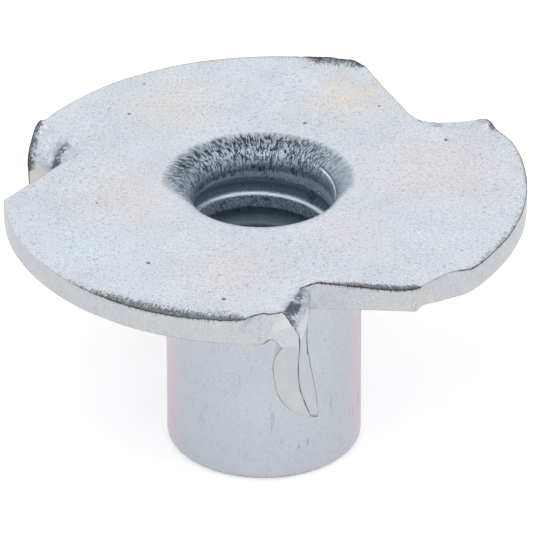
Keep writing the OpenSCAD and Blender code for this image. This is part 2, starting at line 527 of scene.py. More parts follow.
# %% The sides, as points (along, out) in the frame of each notch
STEP = 0.06
CUT_TOP = [
    [
        (2.3, 6.85), (2.57, 6.6), (2.79, 6.42), (3.95, 6.51), (5.22, 6.61), (5.95, 6.58), (6.3, 6.45),
        (6.48, 6.33),
    ],
    [(2.3, 6.88), (3.6, 6.84), (5.0, 6.77), (6.69, 6.75)],
    [(2.3, 6.95), (3.0, 7.03), (6.4, 7.04)],
]
CUT_UNDER = [
    [(2.3, 6.83), (2.85, 6.8), (3.98, 6.72), (5.2, 6.65), (6.3, 6.6)],
    [(2.3, CUT + 0.05), (6.65, CUT)],
    [(2.3, 7.0), (3.0, 7.08), (6.35, 7.09)],
]
# how far along a side its corner at the fold is eased, and how deep the top edge rolls over
CORNER_EASE, ROLL_OVER = (0.3, 0.7, 0.7), 0.03


def on_cut(out, along, notch):
    """Points in the frame of a notch, whose X points outwards across its straight side."""
    a = NOTCHES[notch]
    x = out * math.cos(a) - along * math.sin(a)
    return np.stack([x, out * math.sin(a) + along * math.cos(a)], -1)


def cut_lines(notch, fold_top, fold_under):
    """A notch's side at the top and at the underside, and the underside's link to the fold."""
    end = CUT_TOP[notch][-1][0]
    count = int((end - FOLD_START) / STEP)
    along = np.linspace(FOLD_START, end, count)
    xy = on_cut(table(along, CUT_TOP[notch]), along, notch)
    ease = 1 - ramp(along, FOLD_START, FOLD_START + CORNER_EASE[notch])
    xy = xy + (fold_top[0][:2] - xy[0]) * ease[:, None]
    drop = ROLL_OVER * ramp(along, FOLD_START, FOLD_START + 0.5) * ramp(along[-1] - along, 0, 0.3)
    along = np.linspace(FOLD_START, CUT_UNDER[notch][-1][0], count)
    under = np.c_[on_cut(table(along, CUT_UNDER[notch]), along, notch), np.full(count, SEAT)]
    return np.c_[xy, HEIGHT - drop], under, np.linspace(fold_under[0], under[0], 12)


print("lengths of the sides in mm:", [round(side[-1][0] - FOLD_START, 2) for side in CUT_TOP])

# %% [markdown]
# ## Rim
# The blank is punched out of a strip, so its rim is sheared. A burr stands up along parts of the top
# edge, where the sheet tore at the end of the stroke, and beside the front notch the punch left a flat.
# A Displace modifier would move every edge alike, so the rim's radius and the burr's height are read off
# tables by direction. A little waviness on top keeps the tables' corners from showing.

# %% Flat, burr and waviness of the rim, by direction in degrees
FLAT_TOP = [
    (-54, 9.06), (-52.3, 9.056), (-48, 9.0), (-44.1, 9.02), (-42.3, 9.12), (-39.2, 9.5), (-36, FLANGE_R),
]
FLAT_UNDER = [(-54.5, 9.12), (-51, 8.95), (-47, 9.15), (-43.5, 9.35), (-41, 9.5), (-39.5, FLANGE_R)]
BURR = [
    (-180, 0.02), (-164, 0.0), (-160, -0.08), (-155, -0.08), (-147, -0.03), (-128, -0.02), (-115, 0.01),
    (-108, 0.04), (-104, 0.08), (-97, 0.13), (-93.6, 0.2), (-91, 0.2), (-80, 0.0), (-45, 0.0),
    (-33, 0.02), (-15, 0.03), (10, 0.01), (60, 0.02), (66, 0.1), (70, 0.16), (76, 0.14), (82, 0.04),
    (90, 0.01), (180, 0.02),
]
# over which degrees before a prong's corner the rim is drawn in, for each prong
DRAWN_IN = ((-8, -4.5), (-10, 0), (-10, 0))


def signed_degrees(turn):
    """Angles in degrees, from -180 to 180."""
    return (np.degrees(turn) + 180) % 360 - 180


def rim_radius(turn, flat_table):
    """Radius of the rim in each direction, with the flat and slight waviness."""
    deg = signed_degrees(turn)
    flat = np.where((deg > -60) & (deg < -30), table(deg, flat_table), FLANGE_R)
    return flat + 0.012 * ripple(deg, 6, 3, 360)


def burr_height(turn):
    """Height of the torn burr on the rim's top edge."""
    deg = signed_degrees(turn)
    uneven = 0.9 + 0.12 * ripple(deg, 2.5, 5, 360) + 0.12 * ripple(deg, 0.5, 9, 360)
    return table(deg, BURR) * np.clip(uneven, 0.1, 1.5)


print("highest burr in mm:", burr_height(angle).max().round(2))


# %% One stretch of the rim
# mm over which it eases out of the cut before it and into the corner after it
FROM_CUT, TO_CORNER = 0.3, 0.5


def span(sides, corner, notch):
    """Directions at both ends of a stretch of the rim, and the radius where it starts."""
    along, out = sides[notch - 1][-1]
    start = NOTCHES[notch - 1] + math.atan2(along, out)
    stop = start + (math.atan2(corner[1], corner[0]) - start) % TURN
    return start, stop, math.hypot(along, out)


def rim_line(sides, corner, notch, count, top):
    """The rim from the end of the cut before it to the corner of a prong's bend."""
    start, stop, start_r = span(sides, corner, notch)
    turn = np.linspace(start, stop, count)
    run = (turn - start) * FLANGE_R
    radius = rim_radius(turn, FLAT_TOP if top else FLAT_UNDER)
    if top:
        radius = radius - INSETS[notch] * ramp(np.degrees(turn - stop), *DRAWN_IN[notch])
    begun = np.clip(run / FROM_CUT, 0, 1)
    radius = start_r * (1 - begun) + radius * begun
    away = ramp((stop - turn) * FLANGE_R, 0, TO_CORNER)
    radius = math.hypot(corner[0], corner[1]) * (1 - away) + radius * away
    z = np.full(count, corner[2])
    if top:
        z = HEIGHT + burr_height(turn) * ramp(run, 0, 0.5) * away + LIPS[notch] * (1 - away)
    line = ring(radius, z, turn)
    line[-1] = corner
    return line


start, stop, _ = span(CUT_TOP, place(outer_faces[0][0, -1], 0), 0)
print("first stretch of the rim in degrees:", round(math.degrees(stop - start), 1))

# %% Both outlines: where a strip joins them, their lines have the same number of points
top_parts, under_parts = {}, {}
for k in range(3):
    fold_top, fold_under = place(outer_faces[k][0], k), place(under_faces[k][0], k)
    start, stop, _ = span(CUT_TOP, fold_top[-1], k)
    count = int((stop - start) * FLANGE_R / STEP)
    top_parts["rim", k] = rim_line(CUT_TOP, fold_top[-1], k, count, True)
    under_parts["rim", k] = rim_line(CUT_UNDER, fold_under[-1], k, count, False)
    top_parts["fold", k], under_parts["fold", k] = fold_top[::-1], fold_under[::-1]
    cut_top, cut_under, link = cut_lines(k, fold_top, fold_under)
    top_parts["cut", k] = cut_top
    under_parts["link", k], under_parts["cut", k] = link, cut_under
# the rim's first point is the end of the cut before it
for parts in (top_parts, under_parts):
    for k in range(3):
        parts["rim", k][0] = parts["cut", (k - 1) % 3][-1]

top_line, under_line = (np.concatenate([line[:-1] for line in p.values()]) for p in (top_parts, under_parts))
print("outline points:", len(top_line), len(under_line))

# %% [markdown]
# ## Where the torn edge is dark
# Oil and soot from the press stay in torn metal, so there is a ragged dark fringe where the burr is
# deepest. A thin line of painted shade runs along the edge nearly all round. Noise alone would spread the
# dirt evenly, so two tables say by direction how dark the line and the fringe are. The material breaks
# them up later.

# %% Darkness of the painted shade line and of the fringe, by direction in degrees
LINE_RIM = [
    (-180, 0.3), (-160, 0.12), (-148, 0.12), (-138, 0.3), (-127, 0.8), (-120, 1.0), (-84, 1.0),
    (-62, 0.4), (-44, 0.5), (-41, 0.9), (-8, 0.9), (20, 0.5), (60, 0.4), (66, 1.0), (79, 1.0), (84, 0.5),
    (138, 0.3), (149, 0.4), (151, 1.0), (153, 1.0), (170, 0.3), (180, 0.3),
]
FRINGE_RIM = [
    (-180, 0.08), (-160, 0.12), (-148, 0.2), (-138, 0.3), (-131, 0.5), (-126, 0.8), (-118, 0.95),
    (-105, 1.0), (-95.5, 1.0), (-94, 0.5), (-92, 0.15), (-88, 0.3), (-86, 0.2), (-60, 0.1), (-44, 0.1),
    (-40, 0.4), (-25, 0.5), (-14, 0.35), (0, 0.25), (22, 0.2), (28, 0.9), (36, 0.4), (60, 0.15),
    (66, 0.7), (78, 0.75), (82, 0.2), (138, 0.1), (149, 0.12), (151, 0.5), (153, 0.5), (165, 0.2),
    (180, 0.08),
]
# the fringe along a cut, by distance from the fold; the front cut is the roughest
FRINGE_CUT = [(0, 0.3), (0.7, 0.3), (1.6, 0.7), (2.4, 1.0), (4.0, 1.0), (4.2, 0.8)]
FRINGE_SHARE, LINE_SHARE = (1.0, 0.25, 0.25), (1.0, 0.5, 0.5)


def degrees_of(at):
    """Direction of points from the axis."""
    return np.degrees(np.arctan2(at[..., 1], at[..., 0]))


def fringe(kind, notch, line):
    """How dark and deep the torn fringe is along a line of points, 0 to 1."""
    if kind == "fold":
        return np.zeros(len(line))
    if kind == "rim":
        return table(degrees_of(line), FRINGE_RIM)
    run = np.linalg.norm(line[:, :2] - line[0, :2], axis=1)
    return table(run, FRINGE_CUT) * FRINGE_SHARE[notch]


def edge_line(kind, notch, line):
    """How dark the thin line of painted shade on the edge is along a line of points, 0 to 1."""
    if kind == "rim":
        return table(degrees_of(line), LINE_RIM)
    return np.full(len(line), 0.0 if kind == "fold" else LINE_SHARE[notch])


print("darkness of fringe and line straight in front:", table(-90, FRINGE_RIM), table(-90, LINE_RIM))

# %% The same, point by point round the top outline
top_kind = np.concatenate([np.full(len(line) - 1, kind) for (kind, _), line in top_parts.items()])
top_fringe = np.concatenate([fringe(*key, line)[:-1] for key, line in top_parts.items()])
top_dark = np.concatenate([edge_line(*key, line)[:-1] for key, line in top_parts.items()])
print("mean darkness of line and fringe:", round(top_dark.mean(), 2), round(top_fringe.mean(), 2))

# %% [markdown]
# ## Faces of the flange
# The flange's top and underside are flat sheet with a hole in the middle. One large polygon could fill
# each, but it has no points inside to carry the burr's foot, the slight waves or the masks. So each face
# is filled with triangles by Delaunay's rule. Rings of points lie close together near the edges, and a
# coarser honeycomb lies further in.

# %% Which points are inside an outline, and how far they are from it
def inside_outline(at, outline):
    """Which points are inside a closed outline."""
    ax, ay = outline[:, 0], outline[:, 1]
    bx, by = np.roll(ax, -1), np.roll(ay, -1)
    inside = np.zeros(len(at), bool)
    for s in range(0, len(at), 2000):
        xs, ys = at[s:s + 2000, :1], at[s:s + 2000, 1:]
        crosses = ((ay > ys) != (by > ys)) & (xs < (bx - ax) * (ys - ay) / (by - ay + 1e-30) + ax)
        inside[s:s + 2000] = crosses.sum(1) % 2 == 1
    return inside


def nearest_edge(at, outline):
    """Distance of points from a closed outline, and the number of the edge that is nearest."""
    edge = np.roll(outline, -1, 0) - outline
    squared = (edge**2).sum(1)
    gaps, near = np.empty(len(at)), np.empty(len(at), int)
    for s in range(0, len(at), 500):
        q = at[s:s + 500, None]
        t = np.clip(((q - outline) * edge).sum(-1) / squared, 0, 1)
        gap = np.linalg.norm(q - outline - t[..., None] * edge, axis=-1)
        near[s:s + 500] = gap.argmin(1)
        gaps[s:s + 500] = gap.min(1)
    return gaps, near


print("from the axis to the outline in mm:", nearest_edge(np.zeros((1, 2)), top_line[:, :2])[0].round(2))


# %% Points for a face's inside
# rows of a honeycomb stand this share of their spacing apart, and keep clear of edges by another share
ROW_GAP, CLEAR = 0.866, 0.6


def free_points(outline, centre, hole_r, offsets, spacing):
    """Rings of points along the outline, then a honeycomb with the given spacing."""
    tangent = np.roll(outline, -1, 0) - np.roll(outline, 1, 0)
    tangent /= np.linalg.norm(tangent, axis=1)[:, None]
    inward = np.c_[-tangent[:, 1], tangent[:, 0]]
    found = []
    for offset in offsets:
        every = 1 if offset < 0.1 else 2 if offset < 0.3 else 4
        row = (outline + inward * offset)[::every]
        found.append(row[nearest_edge(row, outline)[0] > offset * 0.93])
    n = int(20 / spacing)
    gx, gy = np.meshgrid(np.arange(-n, n + 1) * spacing, np.arange(-n, n + 1) * spacing * ROW_GAP)
    gx = gx + spacing / 2 * (np.arange(gx.shape[0]) % 2)[:, None]
    comb = np.c_[gx.ravel(), gy.ravel()]
    comb = comb[np.hypot(*comb.T) < FLANGE_R]
    clear = nearest_edge(comb, outline)[0] > offsets[-1] + spacing * CLEAR
    clear &= np.hypot(*(comb - centre).T) > hole_r + spacing * CLEAR
    found.append(comb[inside_outline(comb, outline) & clear])
    return np.concatenate(found)


# %% Fill a face between its outline and the barrel's ring
def fill(line, hole_r, offsets, spacing, height, flip=False, **shades):
    """Adds the triangles of a face; height and shades are functions of (points, gap, nearest edge)."""
    outline, centre = line[:, :2], -FLANGE_SHIFT
    hole = centre + np.stack([hole_r * np.cos(angle), hole_r * np.sin(angle)], -1)
    free = free_points(outline, centre, hole_r, offsets, spacing)
    n, h = len(outline), len(hole)
    edges = [(i, (i + 1) % n) for i in range(n)] + [(n + i, n + (i + 1) % h) for i in range(h)]
    every = [Vector(q) for q in np.concatenate([outline, hole, free])]
    verts, _, triangles, origins, _, _ = geometry.delaunay_2d_cdt(every, edges, [], 0, 1e-7)
    verts = np.array([tuple(v) for v in verts])
    gap, near = nearest_edge(verts, outline)
    z = height(verts, gap, near)
    for i, origin in enumerate(origins):
        for j in origin:
            if j < n:
                z[i] = line[j, 2]
    ids = add(np.c_[verts, z], **{name: shade(verts, gap, near) for name, shade in shades.items()})
    middle = np.array([verts[list(t)].mean(0) for t in triangles])
    keep = inside_outline(middle, outline)
    keep &= np.hypot(*(middle - centre).T) > hole_r * math.cos(math.pi / AROUND)
    kept = [tuple(ids[i] for i in t) for t, ok in zip(triangles, keep) if ok]
    faces.extend(t[::-1] if flip else t for t in kept)
    return len(kept)


# %% Height and masks of the top face
edge_z = top_line[:, 2] - HEIGHT


def top_height(at, gap, near):
    """The flat of the flange, with the burr's foot, the small roll-over and slight waves."""
    edge = edge_z[near]
    foot = np.clip(1 - gap / np.where(edge > 0.1, 0.6, 0.12), 0, 1) ** 2
    wave = 0.006 * np.sin(at[:, 0] * 1.7 + 2.1 * np.sin(at[:, 1] * 0.9)) * np.sin(at[:, 1] * 1.3 + 0.7)
    return HEIGHT + edge * foot + wave * ramp(gap, 0.1, 1.5) * ramp(np.hypot(*at.T), 4.9, 6)


def fringe_shade(at, gap, near):
    """The torn fringe, which reaches further in the darker it is."""
    dark = top_fringe[near]
    width = np.where(top_kind[near] == "cut", 0.08 + 0.3 * dark, 0.15 + 0.65 * dark)
    return np.clip(1 - gap / width, 0, 1) * dark


def line_shade(at, gap, near):
    """The thin line of painted shade on the edge, wider on the nut's +Y half."""
    return np.clip(1 - gap / np.where(at[:, 1] > 0, 0.13, 0.05), 0, 1) * top_dark[near]


def bend_shade(at, gap, near):
    """The first of the wear over a bend, stronger on the nut's -Y half."""
    worn = np.clip(1 - gap / 0.4, 0, 1) * np.where(at[:, 1] < 0, 0.5, 0.3)
    return np.where(top_kind[near] == "fold", worn, 0)


print("the edge stands from the flat by mm:", edge_z.min().round(2), "to", edge_z.max().round(2))

# %% Fill the top and the underside
TOP_RINGS, UNDER_RINGS = (0.03, 0.07, 0.12, 0.18, 0.25, 0.36, 0.55), (0.06, 0.15, 0.3, 0.6)
# the edge mask here paints a thin line of shade along the top's outline
shades = {"burr": fringe_shade, "seam": line_shade, "bend": bend_shade}
n = fill(top_line, TOP_HOLE, TOP_RINGS, 0.4, top_height, **shades)
m = fill(under_line, UNDER_HOLE, UNDER_RINGS, 0.6, lambda at, gap, near: np.full(len(at), SEAT), True)
print("flange faces:", n, m)

# %% [markdown]
# ## Edges of the sheet
# A sheared edge has two bands below its corner: a smooth one where the punch slid, and a rougher one
# where the rest broke away. A bevel would give neither. So each strip has rows of points between the
# top's line and the underside's, pushed in and out by a hundredth of a millimetre or two, and the rows
# of the lower half are the rougher ones.

# %% Strips down the rim and the cuts
# rows of a strip by share of the way down, and how far each is pushed out in mm
BANDS = np.array([0, 0.08, 0.2, 0.42, 0.62, 0.8, 0.93, 1.0])
DIPS = (0, 0.0, 0.008, 0.012, 0.008, 0.002, -0.004, 0)
# the rows above this one are smooth: they keep this share of the torn rows' waviness
SMOOTH_ROWS, SMOOTH_SHARE = 4, 0.4
# a nick crosses the front of the rim, drawn as a line of painted shade, at this direction in degrees
NICK = -91.3


def strip(kind, notch):
    """Points of the strip between the top's line and the underside's."""
    line, below = top_parts[kind, notch], under_parts[kind, notch]
    run = run_along(line[:, :2])
    side = np.gradient(below[:, :2], axis=0)
    side = np.c_[side[:, 1], -side[:, 0]] / np.linalg.norm(side, axis=1)[:, None]
    hold = ramp(run, 0, 0.12) * ramp(run[-1] - run, 0, 0.12)
    rows = [line]
    for j, down in list(enumerate(BANDS))[1:-1]:
        torn = (0.006 * ripple(run, 0.13, 40 + j) + 0.012 * ripple(run, 0.5, 60 + j)) * (1.4 - down)
        push = (DIPS[j] + torn * (SMOOTH_SHARE if j < SMOOTH_ROWS else 1.0)) * hold
        rows.append(line * (1 - down) + below * down + np.c_[side * push[:, None], np.zeros(len(line))])
    return np.array(rows + [below])


strips = {}
for (kind, k), line in top_parts.items():
    if kind == "fold":
        continue
    block = strips[kind, k] = strip(kind, k)
    dark, seam = np.zeros(block.shape[:2]), np.zeros(block.shape[:2])
    dark[0] = fringe(kind, k, line)
    dark[1] = dark[0] * 0.3
    # lines of painted shade along the strip's top and bottom edges and at its ends
    seam[0], seam[-1] = edge_line(kind, k, line), 0.4
    if (kind, k) == ("rim", 0):
        seam = np.maximum(seam, 0.3 * np.exp(-(((degrees_of(block) - NICK) / 0.5) ** 2)))
    seam[:, 0] = np.maximum(seam[:, 0], 0.35)
    seam[:, -1] = np.maximum(seam[:, -1], 0.2 if kind == "rim" else 0.35)
    grid(block, flip=True, sheared=1.0, burr=dark, seam=seam)
print("strips:", len(strips))

# %% [markdown]
# ## Masks of the prongs
# The skin of the sheet cracks most where it is bent hardest, so the wear lies over the bend and fades out
# down the blade. The blade itself is a little warmer and duller, like the sheared edges. Dirt gathers at
# the bend's rim side, a patch of painted shade lies along the front blade's notch-side edge, and a thin
# line of painted shade follows every edge. Painting by hand would not survive a change of the mesh, so
# the masks are written by row and column of the prong's own grid.

# %% Wear over the bends
SKIN = (BEND_ROWS + BLADE_ROWS, ALONG)
PATCH_TURN = [(0, 0.6), (8, 0.95), (26, 1), (42, 0.7), (60, 0.35), (80, 0.1), (88, 0)]
PATCH_ALONG = [(0, 0.55), (0.3, 0.8), (0.5, 1), (0.85, 1), (1, 0.8)]
# where along the fold the wear of the second and third bend is strongest
PATCH_AT = (None, 0.2, 0.32)


def worn_bend(notch):
    """How far the skin is cracked and rubbed, on the front bend and on the two others."""
    bent = np.zeros(SKIN)
    if notch == 0:
        bent[:BEND_ROWS] = table(turned_deg, PATCH_TURN)[:, None] * table(share, PATCH_ALONG)
        return bent
    bent[:BEND_ROWS] = np.linspace(0.55, 1, BEND_ROWS)[:, None]
    bent[BEND_ROWS:] = (1 - ramp(np.arange(BLADE_ROWS), 0, 5))[:, None] * 0.9
    patch = 0.55 * np.exp(-(((share - PATCH_AT[notch]) / 0.13) ** 2))
    return bent * (0.45 + patch + 0.5 * np.exp(-(((share - 0.93) / 0.09) ** 2)))


print("mean wear of the three prongs:", [round(worn_bend(k).mean(), 2) for k in range(3)])


# %% The blade's warmth, the dirt, and the painted shade
def skin_masks(notch):
    """All masks of a prong's outer face."""
    warm, dark, seam = np.zeros(SKIN), np.zeros(SKIN), np.zeros(SKIN)
    warm[BEND_ROWS:] = 0.4 if notch == 0 else 0.9
    warm[BEND_ROWS - 3:BEND_ROWS] = np.array([0.2, 0.45, 0.7])[:, None]
    dark[:BEND_ROWS + 3, -3:] = (0.3, 0.9, 1.0) if notch == 2 else (0.0, 0.2, 0.45)
    # on the front blade, a patch along the notch-side edge is painted shade
    if notch == 0:
        dark[BEND_ROWS + 6:BEND_ROWS + 12, :4] = (1.0, 1.0, 0.8, 0.5)
    if notch == 2:
        dark *= 0.85 + 0.4 * ripple(np.arange(len(dark)), 1.5, 77)[:, None]
    # lines of painted shade along the blade's edges
    seam[-1] = 0.6
    seam[:, 0] = seam[:, -1] = 1
    seam[:, 1] = 0.45
    seam[BEND_ROWS:, -2] = 0.4
    seam[:BEND_ROWS - 2, :2] = 0.2
    if notch == 0:
        seam[2:BEND_ROWS - 1, -1] = 0.4
    return {"bend": worn_bend(notch), "sheared": warm, "burr": dark, "seam": seam}


print("mean dirt on them:", [round(skin_masks(k)["burr"].mean(), 3) for k in range(3)])

# %% [markdown]
# ## Close the prongs
# A prong has an outer and an inner face, two sheared sides and a blunt tip. A Solidify modifier can't
# pinch the crease or press the chisel, so both faces were made on their own. Webs of triangles now close
# the sides, from the strips of the rim and of the cut down to the tip.

# %% Add the prongs' faces, sides and tips
for k in range(3):
    outside, inside = place(outer_faces[k], k), place(under_faces[k], k)
    grid(outside, **skin_masks(k))
    # lines of painted shade along the inner face's edges
    seam = np.zeros(inside.shape[:2])
    seam[:, -1] = seam[-1] = 0.7
    seam[:, 0] = 0.5
    grid(inside, flip=True, seam=seam)
    tip = (outside[-1] + inside[-1]) / 2 + [0, 0, -0.03]
    rim_end, cut_end, link = strips["rim", k][:-1, -1], strips["cut", k][:-1, 0], under_parts["link", k]
    behind = np.vstack([rim_end, inside[:, -1], tip[-1:]])
    web(np.vstack([outside[:, -1], tip[-1:]]), behind, sheared=0.8)
    behind = np.vstack([cut_end, link[:0:-1], inside[:, 0], tip[:1]])
    web(np.vstack([outside[:, 0], tip[:1]]), behind, flip=True, sheared=0.8)
    # the tip's edges get lines of painted shade
    grid(np.stack([outside[-1], tip, inside[-1]]), sheared=1.0, seam=np.repeat([0.3, 0.0, 0.3], ALONG))
print("all faces:", len(faces))

# %% [markdown]
# ## One closed mesh
# The flange was laid out round its own middle. Now it moves off the barrel's axis and leans, and the
# lean fades out into the barrel. Then everything is merged into one skin, and the check counts the edges
# that don't have two faces: there should be none.

# %% Share the masks at points that coincide
xyz = np.concatenate(points)
_, same = np.unique(np.round(xyz, 4), axis=0, return_inverse=True)
same = same.ravel()
for name in MASKS:
    largest = np.zeros(same.max() + 1)
    np.maximum.at(largest, same, np.concatenate(masks[name]))
    masks[name] = largest[same]
print("points that coincide with another:", len(xyz) - same.max() - 1)

# %% Shift and lean the flange
LEAN_FADE = 0.8
on_axis = np.arange(len(xyz)) < sum(len(block) for block in points[:TRUE_BLOCKS])
xyz[~on_axis, :2] += FLANGE_SHIFT
lean = ramp(xyz[:, 2], SEAT - LEAN_FADE, SEAT) * ramp(np.hypot(xyz[:, 0], xyz[:, 1]), 2.6, 3.6)
xyz[:, 2] += FLANGE_LEAN * xyz[:, 0] * np.where(on_axis, lean, 1.0)
print("points:", len(xyz), "of them on the barrel and in the mouth:", on_axis.sum())

# %% Make the mesh
# points closer than this many mm are one, and shorter edges are removed
MERGE, SLIVER = 0.0015, 0.0005
mesh = bpy.data.meshes.new("tee_nut_skin")
mesh.from_pydata((xyz * MM).tolist(), [], [tuple(int(i) for i in face) for face in faces])
for name in MASKS:
    layer = mesh.attributes.new(name, "FLOAT", "POINT")
    layer.data.foreach_set("value", masks[name].astype(np.float32))
work = bmesh.new()
work.from_mesh(mesh)
bmesh.ops.remove_doubles(work, verts=work.verts, dist=MERGE * MM)
bmesh.ops.dissolve_degenerate(work, dist=SLIVER * MM, edges=work.edges)
bmesh.ops.recalc_face_normals(work, faces=work.faces)
open_edges = sum(len(edge.link_faces) != 2 for edge in work.edges)
print("faces", len(work.faces), "edges without two faces:", open_edges)
print("volume mm3:", round(work.calc_volume(signed=True) / MM**3, 1))
work.to_mesh(mesh)
work.free()

# %% The piece: smooth, but for edges that turn by more than this many degrees
SHARP = 38
mesh.shade_smooth()
mesh.set_sharp_from_angle(angle=math.radians(SHARP))
nut = bpy.data.objects.new("nut_body", mesh)
bpy.context.scene.collection.objects.link(nut)
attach(nut, "root")
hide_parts("tee_nut")
print("piece:", nut.name, "with", len(mesh.vertices), "points")

# %% [markdown]
# ## Finish
# Tee nuts are barrel-plated with zinc: they tumble in a bath and come out a pale, slightly bluish grey
# with a fine grain. A clear passivation leaves faint pink and yellow patches. One material carries the
# plating and all its wear. It could be several materials on several faces, but worn metal has no hard
# borders, so the layers are laid over each other by the masks. Three helpers do it: one works out how
# strongly a layer shows, one adds patterns up, and one lays a colour over another.

# %% Colours, and a way to add nodes
def linear(hex_colour):
    """sRGB hex to linear RGBA."""
    parts = [int(hex_colour[i:i + 2], 16) / 255 for i in (1, 3, 5)]
    return [c / 12.92 if c <= 0.04045 else ((c + 0.055) / 1.055) ** 2.4 for c in parts] + [1.0]


zinc = bpy.data.materials.new("zinc_plated_steel_sheet")
zinc.use_nodes = True
nodes, links = zinc.node_tree.nodes, zinc.node_tree.links


def put(kind, inputs=None, **settings):
    """Adds a node with its settings; an input is a value or another node's socket."""
    made = nodes.new("ShaderNode" + kind)
    for key, value in settings.items():
        setattr(made, key, value)
    for key, value in (inputs or {}).items():
        if isinstance(value, bpy.types.NodeSocket):
            links.new(value, made.inputs[key])
        else:
            made.inputs[key].default_value = value
    return made.outputs


print("the nut's material:", zinc.name, "and a mid grey in linear:", round(linear("#808080")[0], 3))


# %% Layers
def where(*conditions):
    """How strongly a layer shows: the product of its conditions.

    A condition is a number, a socket, or a soft step (socket, start, full, least=0, most=1).
    """
    amount = None
    for item in conditions:
        if isinstance(item, tuple):
            value, start, full, *ends = item
            least, most = ends or (0.0, 1.0)
            inputs = {0: value, 1: start, 2: full, 3: least, 4: most}
            item = put("MapRange", inputs, interpolation_type="SMOOTHSTEP")[0]
        first = amount is None
        amount = item if first else put("Math", {0: amount, 1: item}, operation="MULTIPLY")[0]
    return amount


def total(*terms):
    """The sum of terms, each a list of conditions as above."""
    amount = where(*terms[0])
    for term in terms[1:]:
        amount = put("Math", {0: amount, 1: where(*term)})[0]
    return amount


def lay(below, above, *conditions):
    """Lays one colour over another; a colour is sRGB hex or a socket."""
    below, above = (linear(c) if isinstance(c, str) else c for c in (below, above))
    return put("Mix", {0: where(*conditions), 6: below, 7: above}, data_type="RGBA")[2]


print("nodes before the first layer:", len(nodes))

# %% [markdown]
# ## Patterns in millimetres
# The grain of plated zinc is about a hundredth of a millimetre wide, too fine to show, so it is drawn
# coarser: 0.05 mm for the finest and 0.125 mm for the next. Image textures would need unwrapping
# and would show seams. Noise in the nut's own coordinates, counted in millimetres, has neither trouble,
# and a pattern's scale is one divided by the size of its cells.

# %% Coordinates
in_mm = put("VectorMath", {0: put("TexCoord")["Object"], "Scale": 1 / MM}, operation="SCALE")[0]
x_mm, y_mm, height_mm = put("SeparateXYZ", {0: in_mm})
flat_mm = put("CombineXYZ", {0: x_mm, 1: y_mm})[0]
radius_mm = put("VectorMath", {0: flat_mm}, operation="LENGTH")["Value"]
heading = put("VectorMath", {0: flat_mm}, operation="NORMALIZE")[0]
on = {name: put("Attribute", attribute_name=name)["Fac"] for name in MASKS}
print("masks that the material reads:", len(on))


# %% Speckles, and the width of their cells in mm
FINE, GRAIN, CLOUD, WOBBLE = 1 / 19, 1 / 8, 2.0, 1.25


def speckle(size, detail, rough, seed=0.0):
    """Noise with cells of a size in mm."""
    moved = put("VectorMath", {0: in_mm, 1: (seed, seed * 1.7, seed * 0.6)})[0]
    return put("TexNoise", {0: moved, "Scale": 1 / size, "Detail": detail, "Roughness": rough})[0]


cloud, wobble = speckle(CLOUD, 3, 0.55), speckle(WOBBLE, 3, 0.6, 31)
grain, fine = speckle(GRAIN, 3, 0.75, 3), speckle(FINE, 2, 0.7, 9)
uneven = total([wobble], [-0.5])
print("cells of the finest grain in mm:", round(FINE, 3))


# %% Spokes: stretched cracks and hairs that run the way the metal moved, and their width in mm
STROKE, LONG_STROKE, HAIR = 1 / 17, 1 / 8, 1 / 16


def spokes(at_radius, stretch, size, detail, rough):
    """Noise drawn out along lines from the axis: fine around it, longer outwards and down."""
    around = put("VectorMath", {0: heading, "Scale": at_radius}, operation="SCALE")[0]
    along = put("CombineXYZ", {2: where(total([radius_mm], [height_mm]), stretch)})[0]
    inputs = {0: put("VectorMath", {0: around, 1: along})[0], "Scale": 1 / size}
    return put("TexNoise", {**inputs, "Detail": detail, "Roughness": rough})[0]


streaks, long_streaks = spokes(3.0, 0.24, STROKE, 3.0, 0.72), spokes(3.0, 0.25, LONG_STROKE, 2.0, 0.6)
hairs = spokes(9.5, 0.35, HAIR, 3.0, 0.8)
print("width of the strokes and of the hairs in mm:", round(STROKE, 3), HAIR)


# %% Blots
def blot(x, y, size, ragged, core=0.0):
    """A soft blot on the flange at a place in mm, full in its core and gone at its size."""
    away = put("VectorMath", {0: flat_mm, 1: (x, y, 0)}, operation="DISTANCE")["Value"]
    return where((total([away], [uneven, ragged]), size, size * core))


print("nodes for the patterns:", len(nodes))

# %% [markdown]
# ## Plating
# Clean zinc is a pale blue-grey, a little cloudy where the bath was uneven. The passivation leaves it
# faintly pink, yellow or blue in patches of a few millimetres. Matt and bright grains lie over that. A
# single colour with a bump would look like paint, because on plated metal the grains differ in shade.

# %% Base, tints and grain
# tint, place in mm, size in mm and strength
TINTS = (
    ("#dcd0d2", 6.3, 0.7, 3.8, 0.6), ("#dcd0d2", 3.6, -3.4, 2.6, 0.4), ("#e3d5c8", 3.2, 6.3, 2.1, 0.7),
    ("#ddd3d3", -4.9, -0.6, 3.0, 0.5), ("#ded5cf", -3.4, 5.8, 2.6, 0.5), ("#ddd2d3", -1.2, -6.3, 2.8, 0.4),
    ("#cfdbe9", 5.2, -3.0, 2.4, 0.5), ("#cfdbe9", -6.6, -4.2, 3.0, 0.5),
)
colour = lay("#cdd3db", "#d4dae2", (cloud, 0.35, 0.65))
for tint, x, y, size, amount in TINTS:
    colour = lay(colour, tint, blot(x, y, size, 3.5), amount)
colour = lay(colour, "#86919f", (grain, 0.5, 0.24, 0.0, 0.9))
colour = lay(colour, "#f6f8fa", (fine, 0.48, 0.7, 0.0, 0.8))
print("nodes with the plating:", len(nodes))

# %% [markdown]
# ## Barrel and blades
# Below the flange the metal is painted greyer, as shade under the flange.
# Pink bands run down the barrel: the strong ones at its left and right sides are a painted sheen of the
# passivation, the weak ones a pink tint. The die leaves fine upright scratches. Both are made from
# directions and stretched noise. They need no geometry, because they have no depth that would show.

